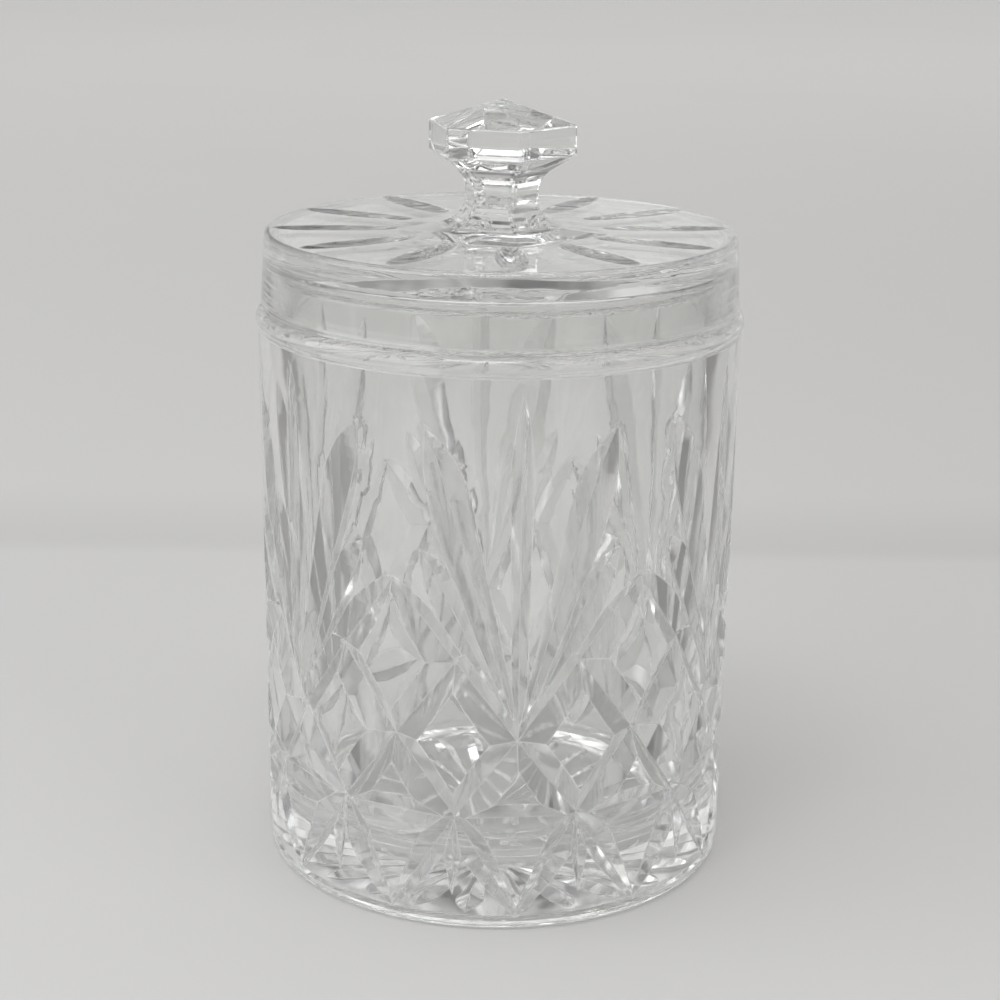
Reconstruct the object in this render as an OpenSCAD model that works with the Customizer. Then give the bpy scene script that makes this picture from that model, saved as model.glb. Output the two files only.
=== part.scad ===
// Lidded biscuit jar in pressed and cut lead crystal.
// Two pieces: the jar, and a drop-on lid made in one with its hexagonal knob.
// Both blanks are turned shapes. The cuts are then made as a glass cutter makes them:
// straight passes of a V-edged wheel for the diamonds, the arc of a large V-edged
// wheel for the leaves of the fans, and a round-edged wheel for the flutes of the lid.

/* [Jar body] */
// Diameter of the body at the table
base_d = 127; // [120:0.5:140]
// Diameter of the body just under the bead
top_d = 128.8; // [126:0.2:140]
// Height of the cut body, from the table to the bead
body_h = 147.5; // [140:0.5:175]
// Thickness of the wall at the floor
wall_t = 8.75; // [7:0.25:14]
// Thickness of the floor
floor_t = 12; // [8:0.5:20]
// Radius where the bore meets the floor
floor_round = 14; // [6:0.5:20]
// Radius of the outside edge at the table
heel_round = 2.5; // [1:0.25:4]
// Depth of the hollow under the base
foot_hollow = 1.2; // [0.5:0.1:3]
// Width of the standing ring round that hollow
foot_land = 9; // [5:0.5:16]
// Number of rays in the star cut under the base
star_rays = 24; // [12:2:28]
// Depth of the rays
star_depth = 2.1; // [1:0.1:2.4]

/* [Bead and neck] */
// Radius of the round bead that the lid rests on
bead_r = 3.1; // [2.2:0.1:3.6]
// How far the bead stands out past the body
bead_proud = 0.6; // [0.1:0.1:1.5]
// How far the neck is set in from the top of the body
neck_step = 5.1; // [4.6:0.1:7]
// Thickness of the neck
neck_t = 3.55; // [2.8:0.05:5]
// Height of the neck above the bead
neck_h = 9.6; // [6:0.2:11]
// Radius that rounds the lip of the neck
lip_round = 1.2; // [0.5:0.1:1.5]

/* [Lid] */
// Height of the lid, from the bottom of its skirt to its flat top
lid_h = 19.8; // [18:0.2:30]
// Thickness of the skirt
skirt_t = 3.8; // [3:0.1:6]
// How far the side of the lid leans in from the bottom of its skirt to its top
lid_draft = 1.3; // [0.3:0.1:3]
// Thickness of the top of the lid
lid_top_t = 7.4; // [6:0.2:8.8]
// Radius of the shoulder round the top
shoulder_round = 1.4; // [0.8:0.1:1.8]
// Radius that rounds the bottom edge of the skirt
skirt_round = 1.1; // [0.4:0.1:1.4]
// Gap between the neck and the skirt round it
neck_gap = 0.6; // [0.3:0.1:0.8]
// Gap between the bead and the bottom of the skirt
seat_gap = 0.15; // [0.1:0.05:0.3]

/* [Knob] */
// Width of the knob across its corners
knob_w = 40.6; // [34:0.2:50]
// Radius that rounds its upright corners
corner_round = 1.5; // [0.5:0.1:3]
// Height of the knob's upright faces
knob_side_h = 7.75; // [5:0.25:14]
// Height of the low pyramid on the knob
knob_crown_h = 6.1; // [3:0.1:9]
// Height of the slope under the knob
knob_under_h = 6.1; // [4:0.1:10]
// Radius that rounds the upper and lower edges of the knob
knob_round = 0.7; // [0.4:0.1:1.2]
// Width of the stem across its corners, where it is narrowest
stem_w = 20.4; // [16:0.2:24]
// Height of the stem
stem_h = 14; // [10:0.25:20]
// Width across its corners of the low spread that the stem stands on
spread_w = 58; // [46:1:62]
// Height of that spread at the stem
spread_h = 1.25; // [0.8:0.05:2]
// Angle of the first corner of the knob from the front
knob_turn = 14.5; // [0:0.5:60]

/* [Cut pattern] */
// Number of fans round the body
fans = 6; // [5:1:7]
// Angle of the middle of the first fan from the front
pattern_turn = 5.5; // [0:0.5:60]
// Full angle of the V-edged wheel
mitre_angle = 114; // [104:1:118]
// Depth of the diamond cuts
cut_depth = 3.1; // [2:0.1:3.4]
// Height of the points at the foot of the diamonds
heel_row = 5; // [4:0.5:9]
// Height of the row of crossings above them
low_row = 31; // [27:0.5:34]
// Height from that row to the next one, and to those above it
row_h = 21.2; // [18:0.2:22]
// Distance from the tip of a fan's middle leaf to the top of the body
leaf_margin = 3.5; // [2:0.5:10]
// Depth of the wide leaves of a fan
leaf_depth = 3.7; // [2:0.1:3.9]

/* [Cuts in the lid] */
// Number of flutes on the top
flutes = 12; // [8:1:14]
// Angle of the first flute from the front
flute_turn = 3.6; // [0:0.1:30]
// Length of a flute
flute_l = 33.5; // [20:0.5:34]
// Width of a flute
flute_w = 8.4; // [6:0.2:9]
// Depth of a flute
flute_depth = 1.9; // [1.2:0.1:2.4]
// Distance from the outer end of a flute to the edge of the lid
flute_margin = 2.1; // [1.9:0.1:6]

/* [Hidden] */
$fn = 180;
over = 1;                               // how far a cutter runs past what it cuts

base_r = base_d / 2;
top_r = top_d / 2;
floor_r = base_r - wall_t;
neck_r = top_r - neck_step;
mouth_r = neck_r - neck_t;
bead_sink = 0.7;                        // how deep the bead sits in the top of the body
bead_c = top_r + bead_proud - bead_r;   // radius of the middle of the bead
bead_z = body_h + bead_r - bead_sink;
lip_z = bead_z + bead_r + neck_h;

seat_z = bead_z + bead_r + seat_gap;    // bottom of the skirt
lid_z = seat_z + lid_h;                 // flat top of the lid
skirt_r = neck_r + neck_gap;            // inside of the skirt
lid_low_r = skirt_r + skirt_t;
lid_top_r = lid_low_r - lid_draft;
cavity_z = lid_z - lid_top_t;
cavity_round = 1.5;                     // radius where the skirt meets the top, inside

half_tan = tan(mitre_angle / 2);
fan_step = 360 / fans;
col = fan_step / 2;                     // from a fan to the diamonds beside it
cross_row = low_row + row_h;            // feet of the fans
mid_row = cross_row + row_h;
peak_row = mid_row + row_h;             // tops of the upper diamonds
leaf_top = body_h - leaf_margin;
hand = 0.1;                             // right-hand passes are this much shallower

// Leaves of a fan, from the middle out: the tip's place as a share of the way round to
// the next diamond, its height as a share of the way up, and the depth
LEAVES = [
    [0, 1, 0.52 * leaf_depth],
    [0.72, 0.9, leaf_depth],
    [0.76, 0.56, 0.76 * leaf_depth],
];
leaf_start = 1.2;                       // depth of a leaf where it leaves the crossing
leaf_wide = 0.76;                       // where a leaf is widest, as a share of its length
leaf_marks = [0, 0.25, 0.5, 0.76, 0.81, 0.85, 0.89, 0.93, 0.965, 0.995, 1.02];

// ---- outlines and turned shapes ----

// A flat outline from its corners, anticlockwise, each given as [x, y, rounding]
module outline(corners) {
    n = len(corners);
    ends = [for (i = [0:n - 1]) rounding(corners[(i + n - 1) % n], corners[i], corners[(i + 1) % n])];
    difference() {
        union() {
            polygon([for (e = ends) each (e[2] > 0 ? [e[0], e[1]] : [e[0]])]);
            for (e = ends) if (e[2] > 0 && e[4] > 0) translate(e[3]) circle(e[2]);
        }
        for (e = ends) if (e[2] > 0 && e[4] < 0) translate(e[3]) circle(e[2]);
    }
}

// The points along a corner of an outline, in steps of no more than 8 degrees
function arc_points(e) =
    let (
        swing = e[4] == 0 ? 0 : e[4] * acos((e[0] - e[3]) * (e[1] - e[3]) / e[2] ^ 2),
        steps = ceil(abs(swing) / 8)
    )
    steps == 0
        ? [e[0]]
        : [for (i = [0:steps]) let (a = swing * i / steps) e[3] + [[cos(a), -sin(a)], [sin(a), cos(a)]] * (e[0] - e[3])];

// A turned solid from its half outline, each corner given as [radius, height, rounding]
module turned(corners) {
    rotate_extrude() outline(corners);
}

// Where a rounded corner starts and ends, its radius, its middle, and 1 if it sticks
// out or -1 if it goes in
function rounding(before, at, after) =
    let (
        p = [at[0], at[1]],
        u = unit([before[0], before[1]] - p),
        v = unit([after[0], after[1]] - p),
        half = acos(u * v) / 2,
        turn = u[1] * v[0] - u[0] * v[1]
    )
    at[2] == 0
        ? [p, p, 0, p, 0]
        : [
            p + at[2] / tan(half) * u,
            p + at[2] / tan(half) * v,
            at[2],
            p + at[2] / sin(half) * unit(u + v),
            turn > 0 ? 1 : -1,
        ];

// ---- places on the wall ----

function unit(v) = v / norm(v);
function wall_r(z) = base_r + (top_r - base_r) * z / body_h;
// The way out from the axis at an angle from the front
function away(a) = [sin(a), -cos(a), 0];
// A point under the outside of the wall, from its angle, height and depth
function spot(a, z, depth) = (wall_r(z) - depth) * away(a) + [0, 0, z];
// The way out of the wall, square to a direction along it
function out_of(a, along) = unit(away(a) - (away(a) * along) * along);

// Sets the children's X along the cut, Y across it and Z out of the glass
module on_cut(at, along, out) {
    across = cross(out, along);
    multmatrix([
        for (i = [0:2]) [along[i], across[i], out[i], at[i]],
        [0, 0, 0, 1],
    ])
        children();
}

// A V-edged cutter that follows the points [along, height], each the bottom of the V
module v_cutter(path, deep) {
    n = len(path);
    side = deep * half_tan;
    polyhedron(
        points = [
            for (p = path) each [
                [p[0], 0, p[1]],
                [p[0], side, p[1] + deep],
                [p[0], -side, p[1] + deep],
            ],
        ],
        faces = [
            [0, 1, 2],
            for (i = [0:n - 2], k = [0:2])
                [3 * i + k, 3 * i + 3 + k, 3 * i + 3 + (k + 1) % 3, 3 * i + (k + 1) % 3],
            [3 * n - 3, 3 * n - 1, 3 * n - 2],
        ]
    );
}

// One straight pass of the V-edged wheel, from one [angle, height, depth] to another
module pass(from, to, run_on = over) {
    p = spot(from[0], from[1], from[2]);
    q = spot(to[0], to[1], to[2]);
    along = unit(q - p);
    on_cut(p, along, out_of((from[0] + to[0]) / 2, along))
        v_cutter([[-run_on, 0], [norm(q - p) + run_on, 0]], 3 * cut_depth);
}

// Depth of a leaf at a share of its length: a straight run in, then the arc of the
// wheel as it leaves the glass
function leaf_dip(t, start, depth) =
    t < leaf_wide
        ? start + (depth - start) * t / leaf_wide
        : depth * (1 - ((t - leaf_wide) / (1 - leaf_wide)) ^ 2);

// One leaf, from a crossing to its tip
module leaf(from, tip, depth) {
    p = spot(from[0], from[1], 0);
    q = spot(tip[0], tip[1], 0);
    chord = norm(q - p);
    along = unit(q - p);
    swing = wall_r(from[1]) * sin(abs(tip[0] - from[0]));
    bulge = swing * swing / (2 * wall_r(from[1]));      // how much the wall stands off the chord
    on_cut(p, along, out_of((from[0] + tip[0]) / 2, along))
        v_cutter(
            [for (t = leaf_marks) [t * chord, bulge * t * (1 - t) - leaf_dip(t, leaf_start, depth)]],
            3 * depth
        );
}

module round_body(count) {
    for (k = [0:count - 1]) rotate(k * 360 / count + pattern_turn) children();
}

// ---- jar ----

module jar() {
    color("aliceblue")
        difference() {
            jar_blank();
            for (side = [1, -1]) round_body(fans) upper_diamond(side);
            for (side = [1, -1]) round_body(2 * fans) lattice_rise(side);
            for (side = [1, -1]) round_body(2 * fans) lattice_middle(side);
            for (side = [1, -1]) round_body(2 * fans) lattice_heel(side);
            round_body(2 * fans) belt_cut();
            round_body(2 * fans) dart();
            for (i = [0:2], side = [1, -1]) if (i > 0 || side > 0) round_body(fans) fan_leaf(i, side);
            for (k = [0:star_rays - 1]) rotate((k + 0.5) * 360 / star_rays) star_ray();
        }
}

module jar_blank() {
    turned([
        [0, foot_hollow, 0],
        [base_r - foot_land - foot_hollow, foot_hollow, 0],
        [base_r - foot_land, 0, 0],
        [base_r, 0, heel_round],
        [top_r, body_h, 0],
        [bead_c + bead_r * cos(45), bead_z - bead_r * sin(45), 0],
        [bead_c, bead_z, 0],
        [neck_r, bead_z, 0],
        [neck_r, lip_z, lip_round],
        [mouth_r, lip_z, lip_round],
        [floor_r, floor_t, floor_round],
        [0, floor_t, 0],
    ]);
    rotate_extrude() translate([bead_c, bead_z]) circle(bead_r);
}

module fan_leaf(i, side) {
    tip_z = cross_row + LEAVES[i][1] * (leaf_top - cross_row);
    leaf([side * i * 0.4, cross_row + 2 + 0.3 * i], [side * LEAVES[i][0] * col, tip_z], LEAVES[i][2]);
}

// A diamond's upper side, full depth at first, then rising out of the glass past the peak
module upper_diamond(side) {
    d = cut_depth - (side > 0 ? hand : 0);
    p = spot(side * col / 2, mid_row, d);
    q = spot(side * col, peak_row, 0.3 * d);
    along = unit(q - p);
    run = norm(q - p);
    on_cut(p, along, out_of(side * 0.75 * col, along))
        v_cutter([[-over, 0], [0.55 * run, -0.2 * d], [run, 0], [1.2 * run, d]], 3 * cut_depth);
}

module lattice_rise(side) {
    d = cut_depth - (side > 0 ? hand : 0);
    pass([0, cross_row, d], [side * col / 2, mid_row, d]);
}

module lattice_middle(side) {
    d = cut_depth - (side > 0 ? hand : 0);
    pass([side * col / 2, low_row, d], [0, cross_row, d]);
}

module lattice_heel(side) {
    d = cut_depth - (side > 0 ? hand : 0);
    pass([side * col / 2, low_row, d], [0, heel_row, 0.4]);
}

// A level cut from one of the lower crossings to the next
module belt_cut() {
    pass([-col / 2, low_row, 0.38 * cut_depth], [col / 2, low_row, 0.38 * cut_depth]);
}

// A short upright cut that fades out below a crossing
module dart() {
    pass([col / 2, low_row, 0.93 * cut_depth], [col / 2, heel_row + 5, 0]);
}

// One ray of the star, cut up into the base
module star_ray() {
    near = 4;
    length = base_r - foot_land - foot_hollow - 3.3 - near;
    on_cut([0, -near, foot_hollow], [0, -1, 0], [0, 0, -1])
        v_cutter([for (t = leaf_marks) [t * length, -leaf_dip(t, 0.1, star_depth)]], star_depth + 1.5);
}

// ---- lid ----

module lid() {
    color("azure")
        difference() {
            union() {
                lid_blank();
                knob();
            }
            for (k = [0:flutes - 1]) rotate(k * 360 / flutes + flute_turn) flute();
        }
}

module lid_blank() {
    turned([
        [0, cavity_z, 0],
        [skirt_r, cavity_z, cavity_round],
        [skirt_r, seat_z, skirt_round],
        [lid_low_r, seat_z, skirt_round],
        [lid_top_r, lid_z, shoulder_round],
        [0, lid_z, 0],
    ]);
}

// The round-edged wheel that grinds one flute
module flute() {
    edge_r = flute_w * flute_w / (8 * flute_depth) + flute_depth / 2;
    wheel_r = flute_l * flute_l / (8 * flute_depth) + flute_depth / 2;
    swing = 2 * asin(flute_l / 2 / wheel_r);
    translate([0, -(lid_top_r - flute_margin - flute_l / 2), lid_z - flute_depth + wheel_r])
        rotate([0, 90, 0])
            rotate(-swing)
                rotate_extrude(angle = 2 * swing)
                    translate([wheel_r - edge_r, 0]) circle(edge_r);
}

// A point of the knob's ring of half width across flats r[0] at the height r[1]: three
// points round each of its six corners
function knob_point(r, k) =
    let (corner = knob_turn + 60 * floor(k / 3))
    (r[0] - corner_round) / cos(30) * away(corner)
        + corner_round * away(corner + 30 * (k % 3 - 1))
        + [0, 0, r[1]];

// The knob, its stem and the low spread under them, six-sided, from one outline that is
// given as [half width across flats, height, rounding]
module knob() {
    flat = cos(30) / 2;                     // from a width across corners to half a width across flats
    stem_z = lid_z + stem_h;                // where the slope under the knob would meet the stem
    side_z = stem_z + knob_under_h;
    crown_z = side_z + knob_side_h;
    sweep = 0.62 * (stem_h - spread_h);     // radius of the hollow curves of the stem
    run_out = flat * (spread_w - stem_w) * over / spread_h;
    corners = [
        [0, lid_z - over, 0],
        [flat * spread_w + run_out, lid_z - over, 0],
        [flat * stem_w, lid_z + spread_h, sweep],
        [flat * stem_w, stem_z, sweep],
        [flat * knob_w, side_z, knob_round],
        [flat * knob_w, crown_z, knob_round],
        [0, crown_z + knob_crown_h, 0],
    ];
    rings = [for (i = [1:5]) each arc_points(rounding(corners[i - 1], corners[i], corners[i + 1]))];
    n = len(rings);
    m = 18;
    polyhedron(
        points = [for (r = rings, k = [0:m - 1]) knob_point(r, k), [0, 0, crown_z + knob_crown_h]],
        faces = [
            [for (k = [0:m - 1]) k],
            for (i = [0:n - 2], k = [0:m - 1])
                [m * i + k, m * i + m + k, m * i + m + (k + 1) % m, m * i + (k + 1) % m],
            for (k = [0:m - 1]) [m * n - m + (k + 1) % m, m * n - m + k, m * n],
        ]
    );
}

jar();
lid();
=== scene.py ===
"""A lidded biscuit jar in cut lead crystal, on a plain pale floor."""

import math

import bpy
from mathutils import Matrix, Vector

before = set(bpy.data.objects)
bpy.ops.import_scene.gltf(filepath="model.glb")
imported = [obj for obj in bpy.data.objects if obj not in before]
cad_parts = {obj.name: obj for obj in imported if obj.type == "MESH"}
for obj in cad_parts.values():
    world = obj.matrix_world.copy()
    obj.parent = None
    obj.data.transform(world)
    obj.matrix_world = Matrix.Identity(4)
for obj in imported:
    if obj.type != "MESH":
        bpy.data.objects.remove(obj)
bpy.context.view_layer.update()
scene = bpy.context.scene
bpy.ops.object.select_all(action="DESELECT")


# ---- shader maths ----


class Socket:
    """A shader value, so that maths on it reads as maths."""

    def __init__(self, tree, out):
        self.tree, self.out = tree, out

    def math(self, operation, *values):
        return add_node(self.tree, "ShaderNodeMath", {"operation": operation}, list(values))

    def __add__(self, other):
        return self.math("ADD", self, other)

    def __sub__(self, other):
        return self.math("SUBTRACT", self, other)

    def __rsub__(self, other):
        return self.math("SUBTRACT", other, self)

    def __mul__(self, other):
        return self.math("MULTIPLY", self, other)

    __radd__, __rmul__ = __add__, __mul__

    def __abs__(self):
        return self.math("ABSOLUTE", self)

    def root(self):
        return self.math("SQRT", self)

    def at_least(self, low):
        return self.math("MAXIMUM", self, low)

    def rising(self, low, high):
        """0 below low, 1 above high, and smooth between."""
        settings = {"interpolation_type": "SMOOTHSTEP"}
        return add_node(self.tree, "ShaderNodeMapRange", settings,
                        {"Value": self, "From Min": low, "From Max": high})

    def step(self, middle, half_width):
        """0 well below middle, 1 well above it."""
        return self.rising(middle - half_width, middle + half_width)


def add_node(tree, kind, settings=None, values=None, output=0):
    """A node with its settings, and the values or links of its sockets."""
    node = tree.nodes.new(kind)
    for name, value in (settings or {}).items():
        setattr(node, name, value)
    pairs = values.items() if isinstance(values, dict) else enumerate(values or [])
    for key, value in pairs:
        if isinstance(value, Socket):
            tree.links.new(value.out, node.inputs[key])
        else:
            node.inputs[key].default_value = value
    return Socket(tree, node.outputs[output])


def new_tree(owner):
    owner.use_nodes = True
    owner.node_tree.nodes.clear()
    return owner.node_tree


def to_output(tree, shader, kind="ShaderNodeOutputMaterial"):
    tree.links.new(shader.out, tree.nodes.new(kind).inputs["Surface"])


def part(tree, vector, axis):
    return add_node(tree, "ShaderNodeSeparateXYZ", None, [vector], "XYZ".index(axis))


def noise(tree, place, scale, detail, roughness=0.5):
    values = {"Vector": place, "Scale": scale, "Detail": detail, "Roughness": roughness}
    return add_node(tree, "ShaderNodeTexNoise", None, values)


def mixed_colour(tree, factor, low, high):
    """low where factor is 0, high where it is 1."""
    return add_node(tree, "ShaderNodeMix", {"data_type": "RGBA"}, {0: factor, 6: low, 7: high}, 2)


def mixed_shader(tree, factor, low, high):
    """low where factor is 0, high where it is 1."""
    return add_node(tree, "ShaderNodeMixShader", None, [factor, low, high])


def grey(level, warmth=0.0):
    return (level * (1 + warmth), level, level * (1 - warmth), 1)


# ---- the glass ----

LEAD_CRYSTAL = 1.545
LET_THROUGH = 0.64
# Painted shade: the second tint on each of these lines greys the glass in the jar's cuts and the
# lid's flutes.
WALL_TINT, CUT_SHADE_TINT = (0.99, 0.993, 0.987, 1), (0.84, 0.845, 0.836, 1)
LID_TINT, FLUTE_SHADE_TINT = (0.952, 0.957, 0.949, 1), (0.62, 0.625, 0.615, 1)

WAVE_SCALE, RIPPLE_SCALE, WEAR_SCALE = 55.0, 210.0, 300.0
RIPPLE_SHARE = 0.12
POLISH, WORN_POLISH = 0.006, 0.012
BORE_MATT, LOW_BORE_MATT, CUT_MATT = 0.025, 2.5, 0.09
EDGE_RADIUS = 0.0004
# Painted highlight: how much white is mixed in along the rounded edges.
EDGE_HIGHLIGHT = 0.8
CUT_HAZE = 0.07

BORE_RADIUS, BORE_BOTTOM = 0.0567, 0.0065
FOOT_RADIUS, WIDENING = 0.0635, 0.0061
CUTS_BOTTOM, CUTS_TOP = 0.004, 0.146
LID_TOP, FLUTE_BOTTOM, FLUTE_END = 0.17295, 0.17095, 0.0602


def jar_cuts(from_axis, height):
    """1 in the jar's cuts, how matt its bore and its cuts are, and how white the cuts are."""
    bore = (1 - from_axis.step(BORE_RADIUS, 0.0001)) * height.step(BORE_BOTTOM, 0.0005)
    depth = FOOT_RADIUS + WIDENING * height - from_axis
    on_wall = height.step(CUTS_BOTTOM, 0.0005) * (1 - height.step(CUTS_TOP, 0.0005))
    cuts = depth.rising(0.00005, 0.0004) * on_wall * (1 - bore)
    low_down = 1 - height.rising(0.02, 0.04)
    matt = BORE_MATT * bore * (1 + LOW_BORE_MATT * low_down) + CUT_MATT * cuts
    return cuts, matt, CUT_HAZE * cuts


def lid_flutes(from_axis, height):
    """1 in the lid's flutes, which are as polished as the rest of it and take no white haze; the
    grey painted shade in them comes from the tint.
    """
    on_plate = height.step(FLUTE_BOTTOM, 0.00005) * (1 - from_axis.step(FLUTE_END, 0.0002))
    return (LID_TOP - height).rising(0.00003, 0.0005) * on_plate, 0.0, 0.0


def crystal(name, wave_height, tint, painted_cut_shade, where_cut):
    """Clear lead crystal: faintly uneven, with a painted highlight in white along its edges and
    painted shade in grey in its cuts.
    """
    material = bpy.data.materials.new(name)
    tree = new_tree(material)
    place = add_node(tree, "ShaderNodeTexCoord", output="Object")
    waves = noise(tree, place, WAVE_SCALE, 1.5, 0.4)
    ripple = noise(tree, place, RIPPLE_SCALE, 1.0, 0.4)
    soft_edges = add_node(tree, "ShaderNodeBevel", {"samples": 4}, {"Radius": EDGE_RADIUS})
    bump = add_node(tree, "ShaderNodeBump", None, {
        "Distance": wave_height,
        "Height": waves + RIPPLE_SHARE * ripple,
        "Normal": soft_edges,
    })

    out_x, out_y, height = (part(tree, place, axis) for axis in "XYZ")
    cuts, matt, haze = where_cut((out_x * out_x + out_y * out_y).root(), height)
    wear = noise(tree, place, WEAR_SCALE, 2.0)
    glass = add_node(tree, "ShaderNodeBsdfPrincipled", None, {
        # Painted shade: in the cuts the glass takes the second, greyer tint.
        "Base Color": mixed_colour(tree, cuts, tint, painted_cut_shade),
        "Roughness": POLISH + WORN_POLISH * wear.rising(0.4, 0.8) + matt,
        "IOR": LEAD_CRYSTAL,
        "Transmission Weight": 1.0,
        "Normal": bump,
    })

    facing = add_node(tree, "ShaderNodeNewGeometry", output="Normal")
    along = add_node(tree, "ShaderNodeVectorMath", {"operation": "DOT_PRODUCT"},
                     [soft_edges, facing], "Value")
    # Painted highlight: white along the rounded edges; the cuts also take a faint white frost.
    white = EDGE_HIGHLIGHT * (1 - along).rising(0.01, 0.06) + haze
    highlight_and_frost = add_node(tree, "ShaderNodeBsdfPrincipled", None,
                    {"Base Color": grey(0.85), "Roughness": 0.35})
    glass = mixed_shader(tree, white, glass, highlight_and_frost)

    shadow_ray = add_node(tree, "ShaderNodeLightPath", output="Is Shadow Ray")
    let_through = add_node(tree, "ShaderNodeBsdfTransparent", None, {"Color": grey(LET_THROUGH)})
    to_output(tree, mixed_shader(tree, shadow_ray, glass, let_through))
    return material


def dress(node, material):
    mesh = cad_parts[node].data
    mesh.materials.clear()
    mesh.materials.append(material)


dress("jar", crystal("jar_crystal", 0.0001, WALL_TINT, CUT_SHADE_TINT, jar_cuts))
dress("lid", crystal("lid_crystal", 0.00006, LID_TINT, FLUTE_SHADE_TINT, lid_flutes))


# ---- floor ----

FLOOR_SIZE = 16
FOLD_Y = 0.252
UNDER_FOOT = -0.0001
# The second grey is the painted shade along the crease, also used for a faint random mottle.
SHEET, FOLD_SHADE_AND_MOTTLE, SURROUND = grey(0.65, 0.011), grey(0.40, 0.01), grey(0.28, 0.02)
WALL_NEAR_PAINTED_LIGHT, WALL_FAR_PAINTED_LIGHT = grey(0.655, 0.012), grey(0.98, 0.01)


def pale_floor():
    """A flat pale sheet with a wall painted on it behind the crease line, made lighter with
    distance as painted light, with painted shade along the crease, on a darker surround.
    """
    material = bpy.data.materials.new("pale_board")
    tree = new_tree(material)
    place = add_node(tree, "ShaderNodeTexCoord", output="Object")
    side, back = (part(tree, place, axis) for axis in "XY")
    wall = back.step(FOLD_Y, 0.004)
    # Painted light: the painted wall grows lighter far away, making up for the lamp light that
    # falls off there.
    painted_light_wall_colour = mixed_colour(tree, back.rising(0.1, 2.5), WALL_NEAR_PAINTED_LIGHT, WALL_FAR_PAINTED_LIGHT)
    colour = mixed_colour(tree, wall, SHEET, painted_light_wall_colour)

    cloud = noise(tree, place, 3.0, 2.0)
    # Painted shade: a darker band along the crease where the sheet meets the painted wall, with a
    # faint random mottle in the same grey.
    crease_shade = back.rising(FOLD_Y - 0.012, FOLD_Y + 0.006)
    crease_shade = crease_shade * (1 - back.rising(FOLD_Y + 0.006, FOLD_Y + 0.09))
    colour = mixed_colour(tree, 0.2 * crease_shade + 0.10 * (cloud - 0.5), colour, FOLD_SHADE_AND_MOTTLE)

    aside = abs(side) - 0.25 * back.at_least(0.0)
    off_sheet = aside.rising(0.32, 0.4) * (1 - back.rising(0.6, 0.8))
    on_sheet = (1 - off_sheet) * back.rising(-0.55, -0.45)
    colour = mixed_colour(tree, on_sheet, SURROUND, colour)
    to_output(tree, add_node(tree, "ShaderNodeBsdfPrincipled", None, {
        "Base Color": colour,
        "Roughness": 0.6,
        "Specular IOR Level": 0.2,
    }))
    return material


# A hair below the foot: where both share one plane, the floor under the glass turns dark.
bpy.ops.mesh.primitive_plane_add(size=FLOOR_SIZE, location=(0, 0, UNDER_FOOT))
floor = bpy.context.object
floor.name = "floor"
floor.data.materials.append(pale_floor())
floor.select_set(False)


# ---- light ----

LIT_SPOT = Vector((0, 0, 0.1))


def soft_lamp(name, place, width, height, watts, colour=(1, 1, 1)):
    """A rectangular lamp that faces the jar."""
    light = bpy.data.lights.new(name, "AREA")
    light.shape = "RECTANGLE"
    light.size, light.size_y, light.energy, light.color = width, height, watts, colour
    lamp = bpy.data.objects.new(name, light)
    scene.collection.objects.link(lamp)
    lamp.location = place
    lamp.rotation_euler = (LIT_SPOT - Vector(place)).to_track_quat("-Z", "Y").to_euler()


soft_lamp("ceiling", (-0.2, -0.9, 1.8), 0.9, 0.5, 7.5)
soft_lamp("window", (-1.3, -0.6, 0.85), 2.2, 1.5, 15.5, (0.97, 0.99, 1.0))
soft_lamp("lamp", (1.2, -1.0, 1.1), 1.2, 0.8, 3.5, (1.0, 0.99, 0.96))


def lit_room():
    """A dim room with lighter things in it, a pale wall behind and a bright ceiling."""
    scene.world = bpy.data.worlds.new("room")
    tree = new_tree(scene.world)
    direction = add_node(tree, "ShaderNodeTexCoord", output="Generated")
    back, up = (part(tree, direction, axis) for axis in "YZ")
    things = noise(tree, direction, 4.5, 2.0).rising(0.42, 0.6)
    wall = back.rising(0.1, 0.5) * (1 - up.rising(0.12, 0.55))
    ceiling = up.rising(0.55, 0.95)
    level = 0.09 + 0.26 * things + 0.45 * wall + 0.74 * ceiling
    room = add_node(tree, "ShaderNodeBackground", None,
                    {"Color": grey(1.0, 0.004), "Strength": level})
    to_output(tree, room, "ShaderNodeOutputWorld")


lit_room()


# ---- camera ----

CAMERA_PLACE = (0.00063, -0.5713, 0.2723)
LOOKS_DOWN = math.radians(16.99)
ROLL = 0.0131

camera = bpy.data.objects.new("camera", bpy.data.cameras.new("camera"))
scene.collection.objects.link(camera)
camera.data.sensor_width = 36
camera.data.lens = 78.34
turn = Matrix.Rotation(math.pi / 2 - LOOKS_DOWN, 4, "X") @ Matrix.Rotation(ROLL, 4, "Z")
camera.matrix_world = Matrix.Translation(CAMERA_PLACE) @ turn
scene.camera = camera

scene.view_settings.view_transform = "Standard"
scene.cycles.max_bounces = 48
scene.cycles.transmission_bounces = 48
scene.cycles.glossy_bounces = 24
